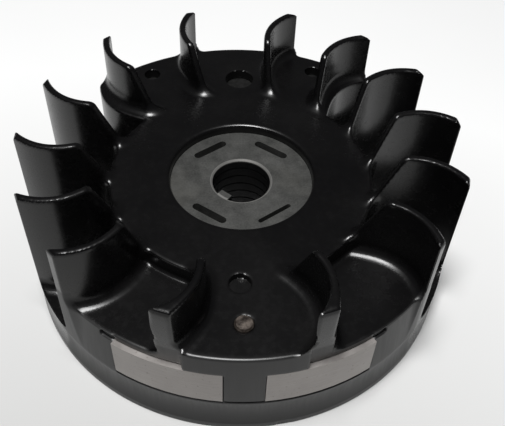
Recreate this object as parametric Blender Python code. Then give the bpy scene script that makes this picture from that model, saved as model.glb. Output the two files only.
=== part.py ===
"""Small-engine flywheel: black moulded fan body on a stack of stamped steel hub plates.

Frame: origin on the crankshaft axis, level with the foot of the base ring, +Z towards
the fan side, -Y towards the ignition magnet. Units are metres, built from millimetres.
"""
import math

import bmesh
import bpy
import numpy as np

MM = 0.001
GAP = 0.3                      # clearance between neighbouring pieces

# Overall
RIM_RADIUS = 80.2              # pole faces, vane ends and base ring
RING_INNER = 75.5
RING_TOP = 17.4
DECK_TOP = 43.6                # floor between the vanes and top of the hub drum
DECK_BOTTOM = 39.6
VANE_TOP = 63.3

# Hub: a collar round the plates, an outer drum and an inner boss hanging from it
DRUM_RADIUS = 49.0
DRUM_WALL = 3.0
DRUM_FOOT = 6.0
BOSS_RADIUS = 31.0
BOSS_FOOT = 8.0
COLLAR_BOTTOM = 36.0
DIMPLE_RADIUS = 4.0
DIMPLE_CIRCLE = 50.8
DIMPLE_ANGLE = -89.4
DIMPLE_DEPTH = 1.2

# Steel hub plates
PLATE_RADIUS = 26.7
PLATE_THICKNESS = 4.0
PLATE_COUNT = 6
PLATE_STACK_TOP = 40.0
BORE_SMALL_RADIUS = 10.9
BORE_STEP = 0.2                # the taper opens by this much per plate
BORE_CHAMFER = 0.6
KEY_WIDTH = 4.7
KEY_FLAT = 8.5                 # distance from the axis to the key's flat
KEY_ANGLE = 232.0
SLOT_CIRCLE = 20.5
SLOT_LENGTH = 14.5
SLOT_WIDTHS = {56.8: 3.0, 127.2: 3.0, 236.8: 3.0, 307.2: 1.7}

# Vanes: angle of each outer tip, and how the blade bows between its ends
VANE_TIPS = {
    "vane_01": -107.0, "vane_02": -71.0, "vane_03": -37.6, "vane_04": -14.9,
    "vane_05": 7.5, "vane_06": 29.7, "vane_07": 51.2, "vane_08": 75.4,
    "vane_09": 106.7, "vane_10": 134.2, "vane_11": 159.7, "vane_12": 182.0,
    "vane_13": 203.7, "vane_14": 223.7,
}
DEEP_VANES = ("vane_03", "vane_04", "vane_05", "vane_06",
              "vane_11", "vane_12", "vane_13", "vane_14")
HEAVY_VANES = ("vane_01", "vane_02")
BOW_ANGLE = 6.0                # largest lead of the blade over its tip, degrees
BOW_RADIUS = 63.0              # where that lead is reached
VANE_ROOT = DRUM_RADIUS + GAP
VANE_SHOULDER = 57.0           # the top edge is level outside this radius
VANE_CORNER = 4.0
VANE_THICKNESS = 2.8
HEAVY_END = 5.6
DEEP_FOOT = 4.0

# Magnet housing between vane_14 and vane_03
HOUSING_INNER = 60.0
SHOE_INNER = 68.0
SHOE_BOTTOM = 18.0
SHOE_TOP = 34.3
SHOE_LEFT = (-120.2, -93.0)
SHOE_RIGHT = (-83.0, -55.6)
LOW_FLOOR = 36.8               # floor on both sides of the raised middle
STEP_ANGLE = 2.0               # from the middle of a heavy vane's tip to the step beside it
SETBACK = 2.5                  # wall over the shoes stands this far inside the rim
SETBACK_LEFT = -102.4          # where that wall comes out to the rim again
SETBACK_RIGHT = -73.2
NOTCH_ANGLE = 4.0
MAGNET_INNER = 71.8
MAGNET_OUTER = 77.4
PIN_RADIUS = 3.2
PIN_CIRCLE = 66.8
PIN_ANGLE = -88.2
PIN_FOOT = 20.0

# Counterweight housing between vane_07 and vane_10
REAR_RADIUS = 78.4
REAR_LEDGE = 5.0               # floor carried past the outermost two vanes
WEIGHT_INNER = 53.0
WEIGHT_OUTER = 73.5
WEIGHT_TOP = 39.3
WEIGHT_BOTTOM = 20.0
WEIGHT_HOLES = ((57.0, 92.0, 5.8), (70.2, 123.7, 3.2), (70.0, 65.2, 3.2))

TURN_STEPS = 72


def clear_scene():
    for obj in list(bpy.data.objects):
        bpy.data.objects.remove(obj, do_unlink=True)


def make_material(name, colour, roughness, metallic):
    material = bpy.data.materials.new(name)
    material.use_nodes = True
    shader = material.node_tree.nodes["Principled BSDF"]
    shader.inputs["Base Color"].default_value = (*colour, 1.0)
    shader.inputs["Roughness"].default_value = roughness
    shader.inputs["Metallic"].default_value = metallic
    return material


def add_object(name, bm, material, parent=None):
    """Turn a bmesh measured in millimetres into a named object in metres."""
    bmesh.ops.recalc_face_normals(bm, faces=bm.faces)
    bmesh.ops.scale(bm, vec=(MM, MM, MM), verts=bm.verts)
    mesh = bpy.data.meshes.new(name)
    bm.to_mesh(mesh)
    bm.free()
    mesh.materials.append(material)
    mesh.shade_smooth()
    mesh.set_sharp_from_angle(angle=math.radians(32))
    obj = bpy.data.objects.new(name, mesh)
    bpy.context.scene.collection.objects.link(obj)
    obj.parent = parent
    return obj


def turned(name, profile, material, parent, steps=TURN_STEPS):
    """Spin a closed (radius, height) profile about the crankshaft axis."""
    bm = bmesh.new()
    verts = [bm.verts.new((r, 0.0, z)) for r, z in profile]
    edges = [bm.edges.new((verts[i], verts[(i + 1) % len(verts)])) for i in range(len(verts))]
    bmesh.ops.spin(bm, geom=verts + edges, cent=(0, 0, 0), axis=(0, 0, 1),
                   angle=2 * math.pi, steps=steps, use_merge=True)
    bmesh.ops.remove_doubles(bm, verts=bm.verts, dist=1e-4)
    return add_object(name, bm, material, parent)


def cell_solid(name, radii, heights, turns, filled, place, material, parent):
    """Close the outside of a curved grid of cells (radius, height, turn) that are filled."""
    bm = bmesh.new()
    corners = {}

    def corner(i, j, k):
        if (i, j, k) not in corners:
            corners[i, j, k] = bm.verts.new(place(radii[i], heights[j], turns[k]))
        return corners[i, j, k]

    size = (len(radii) - 1, len(heights) - 1, len(turns) - 1)

    def solid(i, j, k):
        inside = 0 <= i < size[0] and 0 <= j < size[1] and 0 <= k < size[2]
        return inside and filled(i, j, k)

    for i in range(size[0]):
        for j in range(size[1]):
            for k in range(size[2]):
                if not solid(i, j, k):
                    continue
                for side in (0, 1):
                    step = 2 * side - 1
                    if not solid(i + step, j, k):
                        a = i + side
                        bm.faces.new([corner(a, j, k), corner(a, j, k + 1),
                                      corner(a, j + 1, k + 1), corner(a, j + 1, k)])
                    if not solid(i, j + step, k):
                        a = j + side
                        bm.faces.new([corner(i, a, k), corner(i + 1, a, k),
                                      corner(i + 1, a, k + 1), corner(i, a, k + 1)])
                    if not solid(i, j, k + step):
                        a = k + side
                        bm.faces.new([corner(i, j, a), corner(i + 1, j, a),
                                      corner(i + 1, j + 1, a), corner(i, j + 1, a)])
    return add_object(name, bm, material, parent)


def polar(radius, degrees, height):
    angle = math.radians(degrees)
    return (radius * math.cos(angle), radius * math.sin(angle), height)


def bow(radius):
    """Lead of a blade's middle line over its tip, in degrees, at a given radius."""
    reach = (radius - BOW_RADIUS) / (RIM_RADIUS - BOW_RADIUS)
    return BOW_ANGLE * (1.0 - reach * reach)


def bow_slope(radius):
    """Sideways travel of the blade's middle line per unit of radius."""
    step = 0.5
    turn = math.radians(bow(radius + step) - bow(radius - step))
    return radius * turn / (2 * step)


def half_width(radius, thickness):
    """Half of the blade's thickness measured along the circle, in degrees."""
    stretch = math.sqrt(1.0 + bow_slope(radius) ** 2)
    return math.degrees(0.5 * thickness * stretch / radius)


def spread(start, end, count):
    return [start + (end - start) * n / count for n in range(count + 1)]


def hide_cutter(cutter):
    cutter.hide_render = True
    cutter.display_type = "WIRE"


def cut(obj, cutter, solver="EXACT"):
    hide_cutter(cutter)
    modifier = obj.modifiers.new(cutter.name, "BOOLEAN")
    modifier.operation = "DIFFERENCE"
    modifier.solver = solver
    modifier.object = cutter


def cylinder(name, radius, low, high, centre, material, parent, steps=32):
    bm = bmesh.new()
    bmesh.ops.create_cone(bm, cap_ends=True, segments=steps, radius1=radius, radius2=radius,
                          depth=high - low)
    bmesh.ops.translate(bm, vec=(centre[0], centre[1], 0.5 * (low + high)), verts=bm.verts)
    return add_object(name, bm, material, parent)


def cut_dimple(obj, material, parent):
    """Shallow round hollow where the hub collar meets the magnet housing's floor."""
    x, y, _ = polar(DIMPLE_CIRCLE, DIMPLE_ANGLE, 0.0)
    cut(obj, cylinder("cut_dimple_" + obj.name, DIMPLE_RADIUS, DECK_TOP - DIMPLE_DEPTH, DECK_TOP + 2,
                      (x, y), material, parent, steps=28))


def slot_cutter(name, angle, width, low, high, material, parent):
    """A round-ended bar lying along the circle at the given angle."""
    bm = bmesh.new()
    outline = []
    half = 0.5 * (SLOT_LENGTH - width)
    for side in (1, -1):
        for n in range(7):
            turn = math.radians(-90 + 180 * n / 6) + (0 if side == 1 else math.pi)
            outline.append((side * half + 0.5 * width * math.cos(turn), 0.5 * width * math.sin(turn)))
    turn = math.radians(angle)
    verts = []
    for along, across in outline:
        radius = SLOT_CIRCLE + across
        x = radius * math.cos(turn) - along * math.sin(turn)
        y = radius * math.sin(turn) + along * math.cos(turn)
        verts.append(bm.verts.new((x, y, low)))
    face = bm.faces.new(verts)
    grown = bmesh.ops.extrude_face_region(bm, geom=[face])
    top = [item for item in grown["geom"] if isinstance(item, bmesh.types.BMVert)]
    bmesh.ops.translate(bm, vec=(0, 0, high - low), verts=top)
    return add_object(name, bm, material, parent)


def build_vane(name, tip, material, parent):
    """One blade: bowed in plan, level top, slanted inner edge, rounded outer top corner."""
    deep = name in DEEP_VANES
    foot = DEEP_FOOT if deep else DECK_TOP + GAP
    ring_line = RING_INNER - GAP
    radii = [VANE_ROOT, 53.0, VANE_SHOULDER, 61.0, 65.0, 69.0, 72.5, ring_line, 77.6, 79.2, RIM_RADIUS]
    levels = [0, 1, 2, 3]

    def top(radius):
        if radius < VANE_SHOULDER:
            rise = (radius - VANE_ROOT) / (VANE_SHOULDER - VANE_ROOT)
            return DECK_TOP + 1.5 + rise * (VANE_TOP - DECK_TOP - 1.5)
        past = max(0.0, radius - (RIM_RADIUS - VANE_CORNER))
        return VANE_TOP - VANE_CORNER + math.sqrt(VANE_CORNER ** 2 - past ** 2)

    def height(radius, level):
        ends = (foot, RING_TOP + GAP if deep else foot, top(radius) - 0.9, top(radius))
        return ends[level]

    def thickness(radius):
        if name not in HEAVY_VANES:
            return VANE_THICKNESS
        growth = max(0.0, (radius - 70.0) / (RIM_RADIUS - 70.0))
        return VANE_THICKNESS + growth * (HEAVY_END - VANE_THICKNESS)

    def place(radius, level, side):
        width = half_width(radius, thickness(radius))
        if level == 3:
            width *= 0.45
        return polar(radius, tip + bow(radius) + side * width, height(radius, level))

    def filled(i, j, _k):
        if j == 0:
            return deep and radii[i] < ring_line - 0.01
        return True

    return cell_solid(name, radii, levels, [-1, 0, 1], filled, place, material, parent)


def build_front_housing(material, parent):
    """Block that carries the magnet, its two shoes and the pin, with a low floor at each side."""
    start = VANE_TIPS["vane_14"] - 360.0
    end = VANE_TIPS["vane_03"]
    clear = math.degrees(GAP / RIM_RADIUS)
    radii = [VANE_ROOT, 54.5, HOUSING_INNER, 64.0, SHOE_INNER - GAP, MAGNET_INNER - GAP,
             74.6, RIM_RADIUS - SETBACK, RIM_RADIUS]
    heights = [RING_TOP + GAP, SHOE_TOP + GAP, LOW_FLOOR, DECK_BOTTOM, DECK_TOP]
    seats = [(SHOE_LEFT[0] - clear, SHOE_LEFT[1] + clear), (SHOE_RIGHT[0] - clear, SHOE_RIGHT[1] + clear)]
    notches = [(SHOE_LEFT[0] - NOTCH_ANGLE, seats[0][0]), (seats[1][1], SHOE_RIGHT[1] + NOTCH_ANGLE)]
    steps = [VANE_TIPS["vane_01"] - STEP_ANGLE, VANE_TIPS["vane_02"] + STEP_ANGLE]
    lead_at = [seats[0][0], steps[0], SETBACK_LEFT, seats[0][1],
               seats[1][0], SETBACK_RIGHT, steps[1], seats[1][1]]
    lead = [0.0, 1.0, 1.0, 0.0, 0.0, 1.0, 1.0, 0.0]
    marks = [notches[0][0], *lead_at, notches[1][1]]
    turns = [start]
    for low, high in zip([start] + marks, marks + [end]):
        count = max(1, round((high - low) / 4.5))
        turns += spread(low, high, count)[1:]
    last_cell = len(turns) - 2

    def place(radius, height, turn):
        # ends and steps follow the bow of the blade they meet, the seats stay radial
        edge = half_width(radius, VANE_THICKNESS) + math.degrees(GAP / radius) * 1.4
        low = start + bow(radius) + edge
        high = end + bow(radius) - edge
        blend_low = max(0.0, (marks[0] - turn) / (marks[0] - start))
        blend_high = max(0.0, (turn - marks[-1]) / (end - marks[-1]))
        angle = turn + blend_low * (low - start) + blend_high * (high - end)
        angle += bow(radius) * float(np.interp(turn, lead_at, lead))
        return polar(radius, angle, height)

    def filled(i, j, k):
        radius = 0.5 * (radii[i] + radii[i + 1])
        turn = 0.5 * (turns[k] + turns[k + 1])
        raised = steps[0] < turn < steps[1]
        if j > 1 and not raised:
            return False
        if radius < HOUSING_INNER:
            return j == (3 if raised else 1)
        if k in (0, last_cell):
            return True
        at_rim = radius > RIM_RADIUS - SETBACK
        if j == 0:
            in_seat = any(low < turn < high for low, high in seats)
            if in_seat and radius > SHOE_INNER - GAP:
                return False
            between = seats[0][1] < turn < seats[1][0]
            return not (between and radius > MAGNET_INNER - GAP and not at_rim)
        in_setback = seats[0][0] < turn < SETBACK_LEFT or SETBACK_RIGHT < turn < seats[1][1]
        in_notch = any(low < turn < high for low, high in notches)
        if at_rim and j < 3 and (in_setback or in_notch):
            return False
        return True

    housing = cell_solid("magnet_housing", radii, heights, turns, filled, place, material, parent)
    x, y, _ = polar(PIN_CIRCLE, PIN_ANGLE, 0.0)
    cut(housing, cylinder("cut_pin_hole", PIN_RADIUS + GAP, RING_TOP - 2, DECK_TOP + 2, (x, y),
                          material, parent))
    return housing


def build_rear_housing(material, parent):
    """Floor and block that carry the counterweight, open underneath, three holes on top."""
    start = VANE_TIPS["vane_07"]
    end = VANE_TIPS["vane_10"]
    radii = [VANE_ROOT, WEIGHT_INNER - GAP, 58.0, 63.0, 68.0, WEIGHT_OUTER + GAP, REAR_RADIUS]
    heights = [RING_TOP + GAP, DECK_BOTTOM, DECK_TOP]
    turns = spread(0.0, 1.0, 20)

    def place(radius, height, turn):
        edge = half_width(radius, VANE_THICKNESS) + math.degrees(REAR_LEDGE / radius)
        low = start + bow(radius) - edge
        high = end + bow(radius) + edge
        return polar(radius, low + (high - low) * turn, height)

    def filled(i, j, k):
        in_wall = i in (0, len(radii) - 2) or k < 1 or k > 18
        return j == 1 or in_wall

    housing = cell_solid("counterweight_housing", radii, heights, turns, filled, place, material, parent)
    for n, (circle, angle, radius) in enumerate(WEIGHT_HOLES):
        x, y, _ = polar(circle, angle, 0.0)
        name = "cut_weight_hole_%d" % (n + 1)
        cut(housing, cylinder(name, radius, DECK_BOTTOM - 2, DECK_TOP + 2, (x, y), material, parent))
    return housing


def build_counterweight(material, parent):
    start = VANE_TIPS["vane_07"]
    end = VANE_TIPS["vane_10"]
    radii = [WEIGHT_INNER, 58.0, 63.0, 68.0, WEIGHT_OUTER]
    turns = spread(1.0 / 20, 19.0 / 20, 18)

    def place(radius, height, turn):
        edge = half_width(radius, VANE_THICKNESS) + math.degrees(REAR_LEDGE / radius)
        low = start + bow(radius) - edge
        high = end + bow(radius) + edge
        angle = low + (high - low) * turn
        if turn == turns[0]:
            angle += math.degrees(1.5 * GAP / radius)
        if turn == turns[-1]:
            angle -= math.degrees(1.5 * GAP / radius)
        return polar(radius, angle, height)

    return cell_solid("counterweight", radii, [WEIGHT_BOTTOM, WEIGHT_TOP], turns,
                      lambda i, j, k: True, place, material, parent)


def build_arc_block(name, inner, outer, low, high, angles, material, parent):
    turns = spread(angles[0], angles[1], max(2, round((angles[1] - angles[0]) / 3.4)))
    return cell_solid(name, [inner, outer], [low, high], turns,
                      lambda i, j, k: True, lambda r, z, t: polar(r, t, z), material, parent)


def build_plate(number, material, parent):
    """One stamped hub plate; the first two carry the slots and the crankshaft key."""
    top = PLATE_STACK_TOP - (number - 1) * (PLATE_THICKNESS + GAP)
    low = top - PLATE_THICKNESS
    bore = BORE_SMALL_RADIUS + (number - 1) * BORE_STEP
    name = "hub_plate_%d" % number
    keyed = number <= 2
    bm = bmesh.new()
    steps = 60
    # each corner pairs an offset across the key's flat, None on the round bore, with a turn
    tab_half = math.degrees(math.asin(0.5 * KEY_WIDTH / (bore + BORE_CHAMFER))) if keyed else 0.0
    corners = []
    if keyed:
        corners.append((-0.5 * KEY_WIDTH, KEY_ANGLE - 0.72 * tab_half))
        corners.append((0.5 * KEY_WIDTH, KEY_ANGLE + 0.72 * tab_half))
        rest = spread(KEY_ANGLE + tab_half, KEY_ANGLE + 360.0 - tab_half, steps - 3)
    else:
        rest = spread(0.0, 360.0, steps)[:-1]
    corners += [(None, turn) for turn in rest]

    def inner_point(across, turn, radius):
        if across is None:
            return polar(radius, turn, 0.0)
        angle = math.radians(KEY_ANGLE)
        return (KEY_FLAT * math.cos(angle) - across * math.sin(angle),
                KEY_FLAT * math.sin(angle) + across * math.cos(angle), 0.0)

    def ring(points, level):
        return [bm.verts.new((x, y, level)) for x, y, _ in points]

    outer = [polar(PLATE_RADIUS, turn, 0.0) for _, turn in corners]
    wide = [inner_point(across, turn, bore + BORE_CHAMFER) for across, turn in corners]
    tight = [inner_point(across, turn, bore) for across, turn in corners]
    rings = [ring(outer, low), ring(outer, top), ring(wide, top),
             ring(tight, top - BORE_CHAMFER), ring(tight, low)]
    count = len(corners)
    for a, b in zip(rings, rings[1:] + rings[:1]):
        for n in range(count):
            m = (n + 1) % count
            bm.faces.new([a[n], a[m], b[m], b[n]])
    plate = add_object(name, bm, material, parent)
    if keyed:
        for angle, width in SLOT_WIDTHS.items():
            cutter = slot_cutter("cut_slot_%d_%d" % (number, round(angle)), angle, width,
                                 low - 1, top + 1, material, parent)
            cut(plate, cutter, solver="MANIFOLD")
    return plate


def build_pin(material, parent):
    x, y, _ = polar(PIN_CIRCLE, PIN_ANGLE, 0.0)
    profile = [(0.0, PIN_FOOT), (PIN_RADIUS, PIN_FOOT), (PIN_RADIUS, DECK_TOP + 0.2),
               (PIN_RADIUS - 0.5, DECK_TOP + 0.9), (0.0, DECK_TOP + 1.1)]
    bm = bmesh.new()
    verts = [bm.verts.new((r, 0.0, z)) for r, z in profile]
    edges = [bm.edges.new(pair) for pair in zip(verts, verts[1:])]
    bmesh.ops.spin(bm, geom=verts + edges, cent=(0, 0, 0), axis=(0, 0, 1),
                   angle=2 * math.pi, steps=28, use_merge=True)
    bmesh.ops.remove_doubles(bm, verts=bm.verts, dist=1e-4)
    bmesh.ops.translate(bm, vec=(x, y, 0), verts=bm.verts)
    return add_object("magnet_pin", bm, material, parent)


def build():
    clear_scene()
    black = make_material("moulded_black", (0.012, 0.012, 0.013), 0.28, 0.0)
    steel = make_material("stamped_steel", (0.24, 0.24, 0.23), 0.45, 0.9)
    ground = make_material("ground_steel", (0.46, 0.43, 0.41), 0.38, 0.9)
    ferrite = make_material("ferrite", (0.05, 0.05, 0.055), 0.6, 0.2)
    coppery = make_material("plated_pin", (0.42, 0.30, 0.27), 0.4, 0.9)

    flywheel = bpy.data.objects.new("flywheel", None)
    bpy.context.scene.collection.objects.link(flywheel)

    hub_bore = PLATE_RADIUS + GAP
    drum_inner = DRUM_RADIUS - DRUM_WALL
    hanging_top = COLLAR_BOTTOM - GAP
    collar = turned("hub_collar", [
        (hub_bore, COLLAR_BOTTOM), (DRUM_RADIUS, COLLAR_BOTTOM), (DRUM_RADIUS, DECK_TOP - 1.2),
        (DRUM_RADIUS - 0.4, DECK_TOP - 0.4), (DRUM_RADIUS - 1.2, DECK_TOP),
        (hub_bore + 1.6, DECK_TOP), (hub_bore + 0.5, DECK_TOP - 0.5), (hub_bore, DECK_TOP - 1.6),
    ], black, flywheel)
    cut_dimple(collar, black, flywheel)
    turned("hub_drum", [
        (drum_inner, DRUM_FOOT), (DRUM_RADIUS, DRUM_FOOT), (DRUM_RADIUS, hanging_top),
        (drum_inner, hanging_top),
    ], black, flywheel)
    turned("hub_boss", [
        (hub_bore, BOSS_FOOT), (BOSS_RADIUS, BOSS_FOOT), (BOSS_RADIUS, hanging_top),
        (hub_bore, hanging_top),
    ], black, flywheel)
    turned("base_ring", [
        (RING_INNER, 0.0), (RIM_RADIUS - 0.8, 0.0), (RIM_RADIUS, 0.8), (RIM_RADIUS, 3.0),
        (RIM_RADIUS - 0.9, 6.0), (RIM_RADIUS - 0.9, 12.5), (RIM_RADIUS, RING_TOP - 1.2),
        (RIM_RADIUS, RING_TOP), (RING_INNER, RING_TOP),
    ], black, flywheel)
    cut_dimple(build_front_housing(black, flywheel), black, flywheel)
    build_rear_housing(black, flywheel)
    for name, tip in VANE_TIPS.items():
        build_vane(name, tip, black, flywheel)
    for number in range(1, PLATE_COUNT + 1):
        build_plate(number, steel, flywheel)
    build_arc_block("pole_shoe_left", SHOE_INNER, RIM_RADIUS, SHOE_BOTTOM, SHOE_TOP, SHOE_LEFT,
                    ground, flywheel)
    build_arc_block("pole_shoe_right", SHOE_INNER, RIM_RADIUS, SHOE_BOTTOM, SHOE_TOP, SHOE_RIGHT,
                    ground, flywheel)
    build_arc_block("magnet", MAGNET_INNER, MAGNET_OUTER, SHOE_BOTTOM, SHOE_TOP, (-92.5, -83.5),
                    ferrite, flywheel)
    build_pin(coppery, flywheel)
    build_counterweight(steel, flywheel)


build()
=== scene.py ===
import math

import bmesh
import bpy
import numpy as np
from mathutils import Matrix, Vector


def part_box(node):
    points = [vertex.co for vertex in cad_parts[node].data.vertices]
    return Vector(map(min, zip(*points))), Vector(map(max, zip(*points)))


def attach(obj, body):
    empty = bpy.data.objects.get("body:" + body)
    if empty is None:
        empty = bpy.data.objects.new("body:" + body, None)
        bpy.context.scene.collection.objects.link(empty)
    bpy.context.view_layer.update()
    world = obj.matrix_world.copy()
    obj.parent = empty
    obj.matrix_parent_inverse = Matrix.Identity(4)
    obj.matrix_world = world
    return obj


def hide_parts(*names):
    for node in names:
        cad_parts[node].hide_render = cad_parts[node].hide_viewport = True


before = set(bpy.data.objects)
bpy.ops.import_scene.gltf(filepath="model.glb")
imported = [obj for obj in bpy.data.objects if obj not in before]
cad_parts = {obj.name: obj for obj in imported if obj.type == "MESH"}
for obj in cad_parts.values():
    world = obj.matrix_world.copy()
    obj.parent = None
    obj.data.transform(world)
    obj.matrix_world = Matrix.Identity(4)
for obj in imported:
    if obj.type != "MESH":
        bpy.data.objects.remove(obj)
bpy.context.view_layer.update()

MM = 0.001


# ---------------------------------------------------------------- sizes from the frame, in mm

def low(node):
    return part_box(node)[0] / MM


def high(node):
    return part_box(node)[1] / MM


def points(node):
    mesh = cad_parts[node].data
    co = np.empty(len(mesh.vertices) * 3)
    mesh.vertices.foreach_get("co", co)
    return co.reshape(-1, 3) / MM


RIM = high("base_ring").x
RING_TOP = high("base_ring").z
RING_INNER = float(np.hypot(*points("base_ring").T[:2]).min())
DECK = high("hub_collar").z
COLLAR_BOTTOM = low("hub_collar").z
DRUM = high("hub_drum").x
DRUM_FOOT = low("hub_drum").z
DRUM_WALL = DRUM - float(np.hypot(*points("hub_drum").T[:2]).min())
BOSS = high("hub_boss").x
BOSS_FOOT = low("hub_boss").z
PLATE = high("hub_plate_1").x
PLATE_TOP = high("hub_plate_1").z
VANE_TOP = high("vane_04").z
VANE_FOOT = low("vane_04").z
SHOE_LOW = low("pole_shoe_left").z
SHOE_TOP = high("pole_shoe_left").z
SHOE_INNER = float(np.hypot(*points("pole_shoe_left").T[:2]).min())
MAGNET_OUTER = -low("magnet").y
REAR_WALL = high("counterweight_housing").y
WEIGHT_TOP = high("counterweight").z
WEIGHT_INNER = float(np.hypot(*points("counterweight").T[:2]).min())
WEIGHT_OUTER = float(np.hypot(*points("counterweight").T[:2]).max())

# Blade shape shared by all fourteen vanes
BOW_ANGLE = 6.0
BOW_RADIUS = 63.0
BLADE = 2.8
BLADE_SHOULDER = 57.0
BLADE_NOSE = 49.4
NOSE_HEIGHT = DECK + 1.2
OUTER_CORNER = 2.0
BLADE_EDGE = 1.15
BLADE_CORNER = 1.8
FOOT_FILLET = 4.2
HEAVY_FROM = 70.0
HEAVY_END = 5.4

# Details of the moulding. An edge is the radius of a rounded corner, a fillet that of a filled
# one, and a lap is how far one region runs into the next so that the two fuse.
FLOOR = 4.0
SHALLOW_LAP = 0.8 * FLOOR
HEAVY_LAP = 1.0
DRUM_EDGE = 1.1
WALL_EDGE = 0.6
HOUSING_LAP = 2.0
RING_LAP = 1.0
RING_EDGE = 0.5
RING_FILLET = 0.8
BLOCK_INNER = 60.0
RECESS_ROUND = 1.6
RIM_ROUND = 0.7
LOW_FLOOR = 36.9
LOW_SLAB = 3.2
LOW_LEAN = 1.5
LOW_EDGE = 0.6
LOW_FILLET = 1.5
STEP_ANGLE = 0.9
NOTCH_DEPTH = 2.6
NOTCH_TOP = 36.2
NOTCH_REACH = 4.0
NOTCH_SINK = 0.5
NOTCH_LAP = 0.2
NOTCH_EDGES = (0.6, 0.8, 0.3)
GROOVE = (17.5, 0.45, 0.8)
GROOVE_EDGE = 0.15
SETBACK_LEFT = -102.4
SETBACK_RIGHT = -73.2
PILLAR_LEAN = 1.8
PILLAR_STRAIGHT = 4.0
PILLAR_EDGE = 0.8
MAGNET_BACK = 3.8
MAGNET_HALF = 8.25
REAR_LEDGE = 5.0
TRAY_LAP = 1.0
TRAY_EDGE = 1.0
TRAY_GAP = 0.3
TRAY_WALL = 4.6
WEIGHT_FIT = 0.1
COVE_START = 2.6
COVE_ENDS = 3.6
COVE_DEPTH = 0.9
COVE_SHAPE = 0.8
REAR_HOLES = ((57.0, 92.0, 5.8), (70.2, 123.7, 3.2), (70.0, 65.2, 3.2))
DIMPLE = (50.8, -89.4, 3.8, 2.4)
FOOT_NICK = (-78.0, 2.2, 1.4)
NICK_TOP = 2.0
HOLE_EDGE = 0.5
PIN_EDGE = 0.35
NICK_EDGE = 0.4
FIT = 0.08

# Fineness of the moulding's surface
STEP = 0.62


def tip_angle(node):
    co = points(node)
    ends = co[np.hypot(co[:, 0], co[:, 1]) > RIM - 0.05]
    x, y = ends[:, 0].mean(), ends[:, 1].mean()
    return math.degrees(math.atan2(y, x))


def tip_width(node):
    co = points(node)
    ends = co[np.hypot(co[:, 0], co[:, 1]) > RIM - 0.05]
    return float(np.linalg.norm(ends[:, None, :2] - ends[None, :, :2], axis=2).max())


VANES = sorted(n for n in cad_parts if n.startswith("vane_"))
TIPS = {n: tip_angle(n) for n in VANES}
DEEP = {n: low(n).z < RING_TOP for n in VANES}
HEAVY = {n: tip_width(n) > 5.0 for n in VANES}


# ---------------------------------------------------------------- distance fields, in mm

def join(a, b, radius):
    """Union with a round fillet."""
    u = np.maximum(radius - a, 0.0)
    v = np.maximum(radius - b, 0.0)
    return np.maximum(radius, np.minimum(a, b)) - np.hypot(u, v)


def meet(a, b, radius):
    """Intersection with a rounded edge."""
    u = np.maximum(radius + a, 0.0)
    v = np.maximum(radius + b, 0.0)
    return np.minimum(-radius, np.maximum(a, b)) + np.hypot(u, v)


def cut(a, b, radius):
    return meet(a, -b, radius)


def bow(r):
    reach = (r - BOW_RADIUS) / (RIM - BOW_RADIUS)
    return BOW_ANGLE * (1.0 - reach * reach)


def bow_slope(r):
    return -r * np.radians(2.0 * BOW_ANGLE * (r - BOW_RADIUS) / (RIM - BOW_RADIUS) ** 2)


def turn_from(t, degrees):
    """Signed turn in degrees from the given angle, within half a circle."""
    return (t - degrees + 180.0) % 360.0 - 180.0


def arc(r, t, start, end):
    """Distance outside the sector between two angles, along the circle."""
    middle = 0.5 * (start + end)
    return np.radians(np.abs(turn_from(t, middle)) - 0.5 * (end - start)) * r


def blade_side(name, r, t):
    """Distance from one blade's side face; the blade's own middle line is bowed."""
    along = np.radians(turn_from(t, TIPS[name] + bow(r))) * r
    across = np.abs(along) / np.sqrt(1.0 + bow_slope(r) ** 2)
    thickness = BLADE
    if HEAVY[name]:
        grown = np.clip((r - HEAVY_FROM) / (RIM - HEAVY_FROM), 0.0, 1.0)
        thickness = BLADE + grown ** 2 * (HEAVY_END - BLADE)
    return across - 0.5 * thickness


def blades(r, t, z):
    dx = BLADE_SHOULDER - BLADE_NOSE
    dz = VANE_TOP - NOSE_HEIGHT
    size = math.hypot(dx, dz)
    slant = (dx * (z - VANE_TOP) - dz * (r - BLADE_SHOULDER)) / size
    outline = meet(z - VANE_TOP, slant, BLADE_CORNER)
    corner = meet(z - VANE_TOP, r - RIM, OUTER_CORNER)
    found = None
    for name in VANES:
        foot = VANE_FOOT if DEEP[name] else DECK - SHALLOW_LAP
        foot = LOW_FLOOR - HEAVY_LAP if HEAVY[name] else foot
        side = blade_side(name, r, t)
        one = np.maximum(np.maximum(meet(side, outline, BLADE_EDGE), corner), foot - z)
        found = one if found is None else np.minimum(found, one)
    return found


def bowed_arc(r, t, start, end):
    """Like arc, with both ends following the bow of the blades."""
    middle = 0.5 * (start + end)
    return np.radians(np.abs(turn_from(t, middle + bow(r))) - 0.5 * (end - start)) * r


def front_sector(r, t):
    """Magnet housing, from the middle of one vane to the middle of the other."""
    return bowed_arc(r, t, TIPS["vane_14"] % 360.0 - 360.0, TIPS["vane_03"])


def raised_sector(r, t):
    """Raised middle of the magnet housing, out to the far sides of the two heavy vanes."""
    return bowed_arc(r, t, TIPS["vane_01"] - STEP_ANGLE, TIPS["vane_02"] + STEP_ANGLE)


def rear_sector(r, t):
    """Counterweight housing, carried on as a ledge past its outermost vanes."""
    return bowed_arc(r, t, TIPS["vane_07"], TIPS["vane_10"]) - REAR_LEDGE - 0.5 * BLADE


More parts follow.
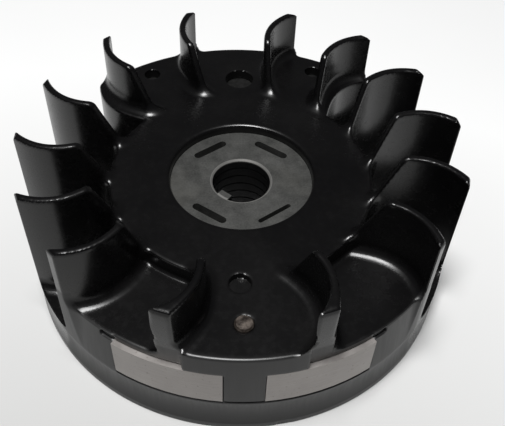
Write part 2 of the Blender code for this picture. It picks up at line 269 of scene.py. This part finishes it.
def body(r, t, z):
    """Everything but the blades: hub, ring and the two housings."""
    below = z - DECK
    # hub collar with drum and boss hanging from it
    hub = meet(r - DRUM, below, DRUM_EDGE)
    hollow = np.maximum(np.maximum(r - (DRUM - DRUM_WALL), BOSS - r), z - COLLAR_BOTTOM)
    hub = cut(hub, hollow, WALL_EDGE)
    foot = np.where(r < 0.5 * (BOSS + DRUM), BOSS_FOOT - z, DRUM_FOOT - z)
    hub = meet(hub, foot, WALL_EDGE)
    # magnet housing: its raised middle, and beside that a lower floor whose wall leans in
    edged = meet(below, r - RIM, RIM_ROUND)
    middle = np.maximum(floor_and_block(edged, r, z, DECK - FLOOR), raised_sector(r, t))
    wall = RIM - LOW_LEAN * np.clip((z - RING_TOP) / (LOW_FLOOR - RING_TOP), 0.0, 1.0)
    edged = meet(z - LOW_FLOOR, r - wall, LOW_EDGE)
    low_floor = np.maximum(floor_and_block(edged, r, z, LOW_FLOOR - LOW_SLAB), front_sector(r, t))
    # counterweight housing: a tray open underneath
    shell = rear_sector(r, t)
    tray = np.maximum(np.maximum(below, RING_TOP + TRAY_GAP - z), DRUM - TRAY_LAP - r)
    tray = meet(meet(tray, shell, TRAY_EDGE), r - REAR_WALL, TRAY_EDGE)
    pocket = np.maximum(z - WEIGHT_TOP - WEIGHT_FIT, WEIGHT_INNER - WEIGHT_FIT - r)
    pocket = np.maximum(np.maximum(pocket, r - WEIGHT_OUTER - WEIGHT_FIT), shell + TRAY_WALL)
    rear = np.maximum(tray, -pocket)
    # base ring
    ring = np.maximum(RING_INNER - r, z - RING_TOP)
    ring = np.maximum(ring, meet(-z, r - outer_radius(z), RING_EDGE))
    found = np.minimum(np.minimum(join(hub, low_floor, LOW_FILLET), middle), rear)
    return join(found, ring, RING_FILLET)


def floor_and_block(edged, r, z, underside):
    """Floor from the drum to the rim, with the solid block that stands on the ring below it."""
    floor = np.maximum(np.maximum(edged, underside - z), DRUM - HOUSING_LAP - r)
    block = np.maximum(np.maximum(edged, RING_TOP - RING_LAP - z), BLOCK_INNER - r)
    return np.minimum(floor, block)


def outer_radius(z):
    """Rim outline: a shallow cove round the base ring, straight above it."""
    rise = np.clip((z - COVE_START) / (RING_TOP - COVE_ENDS), 0.0, 1.0)
    return RIM - COVE_DEPTH * np.sin(np.pi * rise) ** COVE_SHAPE


def round_hole(r, t, circle, angle, radius):
    """Distance outside an upright round hole, centred on a circle at an angle."""
    turn = np.radians(t - angle)
    return np.sqrt(np.maximum(r * r + circle * circle - 2.0 * r * circle * np.cos(turn), 0.0)) - radius


def shoe_pocket(r, t, z, start, end):
    pocket = np.maximum(arc(r, t, start, end) - FIT, SHOE_INNER - FIT - r)
    return np.maximum(pocket, np.maximum(z - SHOE_TOP - FIT, SHOE_LOW - FIT - z))


def shoe_span(node):
    co = points(node)
    turns = np.degrees(np.arctan2(co[:, 1], co[:, 0]))
    return float(turns.min()), float(turns.max())


LEFT = shoe_span("pole_shoe_left")
RIGHT = shoe_span("pole_shoe_right")
SETBACKS = ((LEFT[0], SETBACK_LEFT), (SETBACK_RIGHT, RIGHT[1]))
NOTCHES = ((LEFT[0] - NOTCH_REACH, LEFT[0] + NOTCH_LAP),
           (RIGHT[1] - NOTCH_LAP, RIGHT[1] + NOTCH_REACH))
PIN = 0.5 * (low("magnet_pin") + high("magnet_pin"))
PIN_RADIUS = 0.5 * (high("magnet_pin").x - low("magnet_pin").x)


def moulding(r, t, z):
    """Signed distance to the one-piece black moulding; negative inside."""
    found = join(blades(r, t, z), body(r, t, z), FOOT_FILLET)
    found = np.maximum(found, r - outer_radius(z))
    # round opening for the steel plates, right through the hub
    found = cut(found, r - PLATE - FIT, RECESS_ROUND)
    # seats of the pole shoes and the magnet
    for start, end in (LEFT, RIGHT):
        found = np.maximum(found, -shoe_pocket(r, t, z, start, end))
    seat = np.maximum(arc(r, t, LEFT[1], RIGHT[0]), SHOE_INNER + MAGNET_BACK - r)
    seat = np.maximum(seat, r - MAGNET_OUTER - FIT)
    seat = np.maximum(seat, np.abs(z - 0.5 * (SHOE_LOW + SHOE_TOP)) - MAGNET_HALF)
    found = np.maximum(found, -seat)
    # end faces of the two pillars lean in to meet the shoes
    rise = np.clip((z - SHOE_TOP) / (VANE_TOP - PILLAR_STRAIGHT - SHOE_TOP), 0.0, 1.0)
    lean = RIM - PILLAR_LEAN * (1.0 - rise)
    for start, end in SETBACKS:
        leaning = np.maximum(np.maximum(lean - r, SHOE_TOP - z), arc(r, t, start, end))
        found = cut(found, leaning, PILLAR_EDGE)
    # a small notch just beyond the outer end of each shoe
    top_edge, side_edge, mouth_edge = NOTCH_EDGES
    for start, end in NOTCHES:
        notch = np.maximum(RIM - NOTCH_DEPTH - r, SHOE_TOP - NOTCH_SINK - z)
        notch = meet(notch, z - NOTCH_TOP, top_edge)
        notch = meet(notch, arc(r, t, start, end), side_edge)
        found = cut(found, notch, mouth_edge)
    # parting groove under the magnet block
    height, half, depth = GROOVE
    groove = np.maximum(np.abs(z - height) - half, RIM - depth - r)
    groove = np.maximum(groove, arc(r, t, LEFT[0], RIGHT[1]))
    found = cut(found, groove, GROOVE_EDGE)
    # holes over the counterweight
    for circle, angle, radius in REAR_HOLES:
        hole = np.maximum(round_hole(r, t, circle, angle, radius), WEIGHT_TOP - z)
        found = cut(found, hole, HOLE_EDGE)
    # pin hole, dimple and the nick in the ring's foot
    circle, angle = math.hypot(PIN.x, PIN.y), math.degrees(math.atan2(PIN.y, PIN.x))
    pin = round_hole(r, t, circle, angle, PIN_RADIUS + FIT)
    found = cut(found, np.maximum(pin, SHOE_LOW - z), PIN_EDGE)
    circle, angle, radius, depth = DIMPLE
    bowl = np.maximum(round_hole(r, t, circle, angle, radius), DECK - depth - z)
    found = cut(found, bowl, HOLE_EDGE)
    angle, half, depth = FOOT_NICK
    nick = np.abs(np.radians(t - angle)) * r - half
    nick = np.maximum(nick, np.maximum(z - NICK_TOP, RIM - depth - r))
    return cut(found, nick, NICK_EDGE)


# ---------------------------------------------------------------- surface of the field

def moulding_grid():
    """Sample the field on a cylindrical grid that closes on itself round the axis."""
    inner = PLATE - 0.6
    radii = np.arange(inner, RIM + 1.5 * STEP, STEP)
    heights = np.arange(-1.3 * STEP, VANE_TOP + 1.6 * STEP, STEP)
    count = int(round(2.0 * math.pi * RIM / STEP))
    turns = np.arange(count) * (360.0 / count)
    values = np.empty((len(radii), count, len(heights)), np.float32)
    slab = 60
    for first in range(0, count, slab):
        part = turns[first:first + slab]
        values[:, first:first + slab, :] = moulding(
            radii[:, None, None], part[None, :, None], heights[None, None, :])
    return radii, turns, heights, values


def surface(radii, turns, heights, values):
    """One vertex in each cell that the surface crosses, one quad for each crossed edge."""
    inside = values < 0.0
    rows = len(turns)
    cells = (len(radii) - 1, rows, len(heights) - 1)

    def corner(array, di, dj, dk):
        shifted = np.roll(array, -dj, axis=1) if dj else array
        return shifted[di:di + cells[0], :, dk:dk + cells[2]]

    corners = [(di, dj, dk) for di in (0, 1) for dj in (0, 1) for dk in (0, 1)]
    total = sum(corner(inside, *c).astype(np.int8) for c in corners)
    active = (total > 0) & (total < 8)
    index = np.full(cells, -1, np.int64)
    ci, cj, ck = np.nonzero(active)
    index[ci, cj, ck] = np.arange(len(ci))
    known = {c: corner(values, *c)[active].astype(np.float64) for c in corners}
    place = np.zeros((len(ci), 3))
    crossings = np.zeros(len(ci))
    for a in corners:
        for axis in range(3):
            if a[axis]:
                continue
            b = tuple(v + (n == axis) for n, v in enumerate(a))
            va, vb = known[a], known[b]
            hit = (va < 0.0) != (vb < 0.0)
            share = np.where(hit, va / np.where(hit, va - vb, 1.0), 0.0)
            for n in range(3):
                place[:, n] += np.where(hit, a[n] + (share if n == axis else 0.0), 0.0)
            crossings += hit
    place /= crossings[:, None]
    r = radii[0] + (ci + place[:, 0]) * (radii[1] - radii[0])
    t = (cj + place[:, 1]) * (turns[1] - turns[0])
    z = heights[0] + (ck + place[:, 2]) * (heights[1] - heights[0])
    quads = []

    def add(mask, ids):
        a, b, c, d = [part[mask] for part in ids]
        good = (a >= 0) & (b >= 0) & (c >= 0) & (d >= 0)
        quads.append(np.stack([a, b, c, d], axis=1)[good])

    before = np.roll(index, 1, axis=1)
    # edges along the radius
    one, two = inside[:-1, :, 1:-1], inside[1:, :, 1:-1]
    ids = (index[:, :, :-1], before[:, :, :-1], before[:, :, 1:], index[:, :, 1:])
    add(~one & two, ids)
    add(one & ~two, ids[::-1])
    # edges round the circle
    ahead = np.roll(inside, -1, axis=1)
    one, two = inside[1:-1, :, 1:-1], ahead[1:-1, :, 1:-1]
    ids = (index[:-1, :, :-1], index[:-1, :, 1:], index[1:, :, 1:], index[1:, :, :-1])
    add(~one & two, ids[::-1])
    add(one & ~two, ids)
    # edges along the axis
    one, two = inside[1:-1, :, :-1], inside[1:-1, :, 1:]
    ids = (index[:-1], index[1:], before[1:], before[:-1])
    add(~one & two, ids[::-1])
    add(one & ~two, ids)
    return r, t, z, np.concatenate(quads)


def settle(co, rounds=4):
    """Move vertices onto the exact zero of the field."""
    probe = 0.02
    reach = 0.45 * STEP

    def value(p):
        r = np.hypot(p[:, 0], p[:, 1])
        t = np.degrees(np.arctan2(p[:, 1], p[:, 0]))
        return moulding(r, t, p[:, 2])

    start = co.copy()
    for _ in range(rounds):
        here = value(co)
        slope = np.stack([
            value(co + probe * np.eye(3)[n]) - value(co - probe * np.eye(3)[n]) for n in range(3)
        ], axis=1) / (2.0 * probe)
        size = np.maximum((slope ** 2).sum(axis=1), 0.25)
        co = co - slope * (here / size)[:, None] * 0.8
        moved = co - start
        length = np.linalg.norm(moved, axis=1)
        co = start + moved * np.minimum(1.0, reach / np.maximum(length, 1e-9))[:, None]
    return co


def build_moulding(material):
    radii, turns, heights, values = moulding_grid()
    r, t, z, quads = surface(radii, turns, heights, values)
    angle = np.radians(t)
    co = settle(np.stack([r * np.cos(angle), r * np.sin(angle), z], axis=1))
    co[:, 2] = np.clip(co[:, 2], 0.0, VANE_TOP)
    size = np.hypot(co[:, 0], co[:, 1])
    co[:, :2] *= np.minimum(1.0, RIM / size)[:, None]
    mesh = bpy.data.meshes.new("fan_moulding")
    mesh.vertices.add(len(co))
    mesh.vertices.foreach_set("co", (co * MM).ravel())
    mesh.loops.add(quads.size)
    mesh.loops.foreach_set("vertex_index", quads.ravel().astype(np.int32))
    mesh.polygons.add(len(quads))
    mesh.polygons.foreach_set("loop_start", np.arange(0, quads.size, 4, dtype=np.int32))
    mesh.update(calc_edges=True)
    mesh.shade_smooth()
    mesh.set_sharp_from_angle(angle=math.radians(50))
    mesh.materials.append(material)
    obj = bpy.data.objects.new("fan_moulding", mesh)
    bpy.context.scene.collection.objects.link(obj)
    return obj


# ---------------------------------------------------------------- materials

class Nodes:
    """Small helper that adds and links shader nodes."""

    def __init__(self, name):
        self.material = bpy.data.materials.new(name)
        self.material.use_nodes = True
        self.tree = self.material.node_tree
        self.shader = self.tree.nodes["Principled BSDF"]
        self.place = self.add("ShaderNodeTexCoord").outputs["Object"]

    def add(self, kind, **settings):
        node = self.tree.nodes.new(kind)
        for key, value in settings.items():
            setattr(node, key, value)
        return node

    def link(self, out, socket):
        self.tree.links.new(out, socket)

    def noise(self, scale, detail=4.0, rough=0.5, source=None):
        node = self.add("ShaderNodeTexNoise")
        node.inputs["Scale"].default_value = scale
        node.inputs["Detail"].default_value = detail
        node.inputs["Roughness"].default_value = rough
        self.link(source or self.place, node.inputs["Vector"])
        return node.outputs["Fac"]

    def stretched(self, scale):
        node = self.add("ShaderNodeMapping")
        node.inputs["Scale"].default_value = scale
        self.link(self.place, node.inputs["Vector"])
        return node.outputs["Vector"]

    def ramp(self, value, low_in, high_in, low_out, high_out):
        node = self.add("ShaderNodeMapRange")
        node.inputs["From Min"].default_value = low_in
        node.inputs["From Max"].default_value = high_in
        node.inputs["To Min"].default_value = low_out
        node.inputs["To Max"].default_value = high_out
        self.link(value, node.inputs["Value"])
        return node.outputs["Result"]

    def math(self, operation, a, b):
        node = self.add("ShaderNodeMath", operation=operation)
        for socket, value in zip(node.inputs, (a, b)):
            if isinstance(value, (int, float)):
                socket.default_value = value
            else:
                self.link(value, socket)
        return node.outputs["Value"]

    def blend(self, fac, dark, light):
        node = self.add("ShaderNodeMix", data_type="RGBA")
        self.link(fac, node.inputs["Factor"])
        for socket, value in ((node.inputs[6], dark), (node.inputs[7], light)):
            if isinstance(value, tuple):
                socket.default_value = (*value, 1.0)
            else:
                self.link(value, socket)
        return node.outputs[2]

    def bump(self, height, strength, distance, under=None):
        node = self.add("ShaderNodeBump")
        node.inputs["Strength"].default_value = strength
        node.inputs["Distance"].default_value = distance
        self.link(height, node.inputs["Height"])
        if under:
            self.link(under, node.inputs["Normal"])
        return node.outputs["Normal"]

    def sector(self, middle, half):
        """1 within half degrees of a direction round the axis, fading over two degrees."""
        split = self.add("ShaderNodeSeparateXYZ")
        self.link(self.place, split.inputs["Vector"])
        toward = math.radians(middle)
        along = self.math("ADD", self.math("MULTIPLY", split.outputs["X"], math.cos(toward)),
                          self.math("MULTIPLY", split.outputs["Y"], math.sin(toward)))
        across = self.math("SUBTRACT", self.math("MULTIPLY", split.outputs["Y"], math.cos(toward)),
                           self.math("MULTIPLY", split.outputs["X"], math.sin(toward)))
        turn = self.math("ABSOLUTE", self.math("ARCTAN2", across, along), 0.0)
        return self.ramp(turn, math.radians(half + 1.0), math.radians(half - 1.0), 0.0, 1.0)

    def radius_and_height(self):
        split = self.add("ShaderNodeSeparateXYZ")
        self.link(self.place, split.inputs["Vector"])
        square_x = self.math("MULTIPLY", split.outputs["X"], split.outputs["X"])
        square_y = self.math("MULTIPLY", split.outputs["Y"], split.outputs["Y"])
        radius = self.math("SQRT", self.math("ADD", square_x, square_y), 0.0)
        return radius, split.outputs["Z"]


def moulded_black():
    n = Nodes("moulded_black")
    radius, height = n.radius_and_height()
    grain = n.noise(1400.0, 3.0, 0.6)
    cloud = n.noise(38.0, 5.0, 0.55)
    fine = n.noise(420.0, 4.0, 0.6)
    streak = n.noise(1.0, 3.0, 0.5, n.stretched((900.0, 900.0, 60.0)))
    # the rim is turned and worn, so it is matter than the moulded faces; its colour is also made a little
    # greyer as a painted sheen standing in for the pale floor's reflection
    at_rim = n.ramp(radius, RIM * MM - 0.0024, RIM * MM - 0.0014, 0.0, 1.0)
    rubbed_sheen = n.math("MULTIPLY", at_rim, n.sector(-89.0, 51.0))
    rubbed_sheen = n.math("MULTIPLY", rubbed_sheen, n.ramp(height, (DECK + 0.2) * MM, (DECK - 0.6) * MM, 0.0, 1.0))
    base = n.blend(n.ramp(cloud, 0.35, 0.7, 0.0, 1.0), (0.0022, 0.0021, 0.0023), (0.0042, 0.0040, 0.0041))
    # painted sheen: a greyer streaky colour on the magnet housing's rim
    sheen_grey = n.blend(n.ramp(streak, 0.3, 0.7, 0.0, 1.0), (0.003, 0.003, 0.0032), (0.009, 0.009, 0.0092))
    n.link(n.blend(rubbed_sheen, base, sheen_grey), n.shader.inputs["Base Color"])
    gloss = n.math("ADD", n.ramp(cloud, 0.3, 0.75, 0.22, 0.29), n.ramp(fine, 0.45, 0.7, 0.0, 0.05))
    matt = n.ramp(streak, 0.3, 0.7, 0.40, 0.48)
    mixed = n.add("ShaderNodeMix", data_type="FLOAT")
    n.link(rubbed_sheen, mixed.inputs["Factor"])
    n.link(gloss, mixed.inputs[2])
    n.link(matt, mixed.inputs[3])
    n.link(mixed.outputs[0], n.shader.inputs["Roughness"])
    n.shader.inputs["IOR"].default_value = 1.46
    sink = n.bump(cloud, 0.05, 0.0003)
    n.link(n.bump(grain, 0.03, 0.00005, sink), n.shader.inputs["Normal"])
    return n.material


# Radii in metres: where the painted highlight on the bore's edge ends, and where the painted shade inside
# the bore begins
BORE_EDGE = 0.0115
BORE = 0.0119


def stamped_steel():
    n = Nodes("stamped_steel")
    speck = n.noise(1500.0, 3.0, 0.65)
    mottle = n.noise(160.0, 5.0, 0.6)
    stain = n.noise(34.0, 3.0, 0.5)
    tone = n.math("ADD", n.ramp(speck, 0.3, 0.7, 0.0, 0.55), n.ramp(mottle, 0.3, 0.7, 0.0, 0.45))
    steel = n.blend(tone, (0.044, 0.045, 0.043), (0.108, 0.108, 0.103))
    worn = n.blend(n.ramp(stain, 0.48, 0.62, 0.0, 0.35), steel, (0.10, 0.098, 0.088))
    # painted highlight on the edge of the bore, and painted shade on the steel inside it
    radius, height = n.radius_and_height()
    # painted highlight: a bright ring just inside the bore's edge on every plate
    bore_highlight = n.math("MULTIPLY", n.ramp(radius, BORE_EDGE + 0.0003, BORE_EDGE, 0.0, 1.0),
                     n.ramp(radius, BORE_EDGE - 0.0009, BORE_EDGE - 0.0006, 0.0, 1.0))
    # painted shade: the steel inside the bore, more than about a millimetre below PLATE_TOP, is made
    # nearly black
    top = n.ramp(height, PLATE_TOP * MM - 0.0012, PLATE_TOP * MM - 0.0009, 0.0, 1.0)
    inside = n.math("SUBTRACT", 1.0, n.math("MAXIMUM", top, n.ramp(radius, BORE, BORE + 0.0012, 0.0, 1.0)))
    edged = n.blend(bore_highlight, worn, (0.24, 0.235, 0.225))
    n.link(n.blend(inside, edged, (0.008, 0.008, 0.0085)), n.shader.inputs["Base Color"])
    n.shader.inputs["Metallic"].default_value = 0.55
    n.link(n.ramp(mottle, 0.3, 0.7, 0.42, 0.62), n.shader.inputs["Roughness"])
    n.link(n.bump(speck, 0.35, 0.00008), n.shader.inputs["Normal"])
    return n.material


def ground_steel():
    n = Nodes("ground_steel")
    lines = n.noise(1.0, 3.0, 0.6, n.stretched((140.0, 140.0, 2600.0)))
    patch = n.noise(60.0, 4.0, 0.55)
    speck = n.noise(900.0, 2.0, 0.5)
    tone = n.math("ADD", n.ramp(lines, 0.3, 0.7, 0.0, 0.6), n.ramp(patch, 0.3, 0.7, 0.0, 0.4))
    metal = n.blend(tone, (0.25, 0.232, 0.222), (0.37, 0.348, 0.332))
    spots = n.blend(n.ramp(speck, 0.66, 0.74, 0.0, 0.5), metal, (0.12, 0.10, 0.085))
    n.link(spots, n.shader.inputs["Base Color"])
    n.shader.inputs["Metallic"].default_value = 0.65
    n.link(n.ramp(lines, 0.3, 0.7, 0.38, 0.52), n.shader.inputs["Roughness"])
    n.link(n.bump(lines, 0.3, 0.00005), n.shader.inputs["Normal"])
    return n.material


def ferrite():
    n = Nodes("ferrite")
    grain = n.noise(900.0, 3.0, 0.6)
    n.link(n.blend(grain, (0.03, 0.03, 0.033), (0.07, 0.07, 0.075)), n.shader.inputs["Base Color"])
    n.link(n.ramp(grain, 0.3, 0.7, 0.5, 0.7), n.shader.inputs["Roughness"])
    n.link(n.bump(grain, 0.3, 0.0001), n.shader.inputs["Normal"])
    return n.material


def plated_pin():
    n = Nodes("plated_pin")
    patch = n.noise(420.0, 4.0, 0.6)
    speck = n.noise(1800.0, 2.0, 0.5)
    tone = n.blend(n.ramp(patch, 0.35, 0.65, 0.0, 1.0), (0.030, 0.023, 0.019), (0.13, 0.108, 0.092))
    n.link(tone, n.shader.inputs["Base Color"])
    n.shader.inputs["Metallic"].default_value = 0.6
    n.link(n.ramp(patch, 0.3, 0.7, 0.38, 0.6), n.shader.inputs["Roughness"])
    n.link(n.bump(n.math("ADD", patch, speck), 0.4, 0.00015), n.shader.inputs["Normal"])
    return n.material


def cast_iron():
    n = Nodes("cast_iron")
    grain = n.noise(700.0, 4.0, 0.65)
    n.link(n.blend(grain, (0.002, 0.002, 0.002), (0.008, 0.0078, 0.0075)), n.shader.inputs["Base Color"])
    n.shader.inputs["Metallic"].default_value = 0.3
    n.link(n.ramp(grain, 0.3, 0.7, 0.45, 0.65), n.shader.inputs["Roughness"])
    n.link(n.bump(grain, 0.5, 0.0002), n.shader.inputs["Normal"])
    return n.material


# Centre and fade radii of a painted shadow on the floor, in metres
SHADOW_PLACE = (-0.05, -0.24, 0.0)
SHADOW_FADE = (0.05, 0.36)


def floor_paper():
    n = Nodes("floor_paper")
    cloud = n.noise(9.0, 3.0, 0.5)
    paper = n.blend(cloud, (0.90, 0.902, 0.90), (0.94, 0.942, 0.938))
    shadowed_paper = n.blend(cloud, (0.40, 0.40, 0.392), (0.44, 0.44, 0.431))
    # a wide soft painted shadow on the floor in front of the object
    away = n.add("ShaderNodeVectorMath", operation="DISTANCE")
    n.link(n.place, away.inputs[0])
    away.inputs[1].default_value = SHADOW_PLACE
    lit = n.ramp(away.outputs["Value"], *SHADOW_FADE, 0.0, 1.0)
    n.link(n.blend(lit, shadowed_paper, paper), n.shader.inputs["Base Color"])
    n.shader.inputs["Roughness"].default_value = 0.75
    return n.material


# ---------------------------------------------------------------- CAD nodes that stay visible

def dress(node, material, width):
    """Give a CAD node its material and round its edges by a width in millimetres."""
    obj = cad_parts[node]
    obj.data.materials.clear()
    obj.data.materials.append(material)
    bevel = obj.modifiers.new("edge_round", "BEVEL")
    bevel.width = width * MM
    bevel.segments = 2
    bevel.limit_method = "ANGLE"
    bevel.angle_limit = math.radians(35)
    bevel.harden_normals = False
    bevel.use_clamp_overlap = True


# ---------------------------------------------------------------- stage

FLOOR_SIZE = 3.0
FLOOR_CELLS = 40
FLOOR_DROP = 0.0002
ROOM_COLOUR = (0.96, 0.97, 1.0, 1.0)
ROOM_STRENGTH = 0.06
LAMP_PLACE = (-0.10, -0.22, 1.3)
LAMP_SIZE = 0.40
LAMP_POWER = 20.0


def build_floor(material):
    bm = bmesh.new()
    bmesh.ops.create_grid(bm, x_segments=FLOOR_CELLS, y_segments=FLOOR_CELLS, size=FLOOR_SIZE)
    mesh = bpy.data.meshes.new("floor")
    bm.to_mesh(mesh)
    bm.free()
    mesh.materials.append(material)
    obj = bpy.data.objects.new("floor", mesh)
    obj.location.z = -FLOOR_DROP
    bpy.context.scene.collection.objects.link(obj)


def build_light():
    """A dim even room with one square lamp above, in front and a little to the left."""
    world = bpy.data.worlds.new("room")
    world.use_nodes = True
    shade = world.node_tree.nodes["Background"]
    shade.inputs["Color"].default_value = ROOM_COLOUR
    shade.inputs["Strength"].default_value = ROOM_STRENGTH
    bpy.context.scene.world = world
    bpy.context.scene.view_settings.view_transform = "Standard"
    data = bpy.data.lights.new("ceiling", "AREA")
    data.shape = "RECTANGLE"
    data.size = LAMP_SIZE
    data.size_y = LAMP_SIZE
    data.energy = LAMP_POWER
    obj = bpy.data.objects.new("ceiling", data)
    obj.location = LAMP_PLACE
    obj.rotation_mode = "QUATERNION"
    obj.rotation_quaternion = (-Vector(LAMP_PLACE)).to_track_quat("-Z", "Y")
    bpy.context.scene.collection.objects.link(obj)


CAMERA_PLACE = (0.0, -0.1980, 0.2401)
CAMERA_LENS = 53.18
CAMERA_TILT = math.atan2(7.4932, 7.4159) + 0.0436
CAMERA_PAN = 0.0162
CAMERA_ROLL = 0.0269


def build_camera():
    """Camera where the reference view was taken, from its fitted tilt, pan and roll."""
    data = bpy.data.cameras.new("camera")
    data.sensor_width = 36.0
    data.lens = CAMERA_LENS
    data.clip_start = 0.01
    data.clip_end = 20.0
    forward = Vector((0.0, math.cos(CAMERA_TILT), -math.sin(CAMERA_TILT)))
    right = Vector((1.0, 0.0, 0.0))
    up = right.cross(forward)
    forward, right = (forward * math.cos(CAMERA_PAN) + right * math.sin(CAMERA_PAN),
                      right * math.cos(CAMERA_PAN) - forward * math.sin(CAMERA_PAN))
    across = right * math.cos(CAMERA_ROLL) + up * math.sin(CAMERA_ROLL)
    upward = up * math.cos(CAMERA_ROLL) - right * math.sin(CAMERA_ROLL)
    turn = Matrix((across, upward, -forward)).transposed()
    obj = bpy.data.objects.new("camera", data)
    obj.matrix_world = Matrix.Translation(Vector(CAMERA_PLACE)) @ turn.to_4x4()
    bpy.context.scene.collection.objects.link(obj)
    bpy.context.scene.camera = obj


def build():
    black = moulded_black()
    steel = stamped_steel()
    ground = ground_steel()
    fan = build_moulding(black)
    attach(fan, "root")
    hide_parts("hub_collar", "hub_drum", "hub_boss", "base_ring", "magnet_housing",
                "counterweight_housing", *VANES)
    for number in range(1, 7):
        dress("hub_plate_%d" % number, steel, 0.12)
    dress("pole_shoe_left", ground, 0.25)
    dress("pole_shoe_right", ground, 0.25)
    dress("magnet", ferrite(), 0.2)
    dress("magnet_pin", plated_pin(), 0.15)
    dress("counterweight", cast_iron(), 0.4)
    build_floor(floor_paper())
    build_light()
    build_camera()


build()
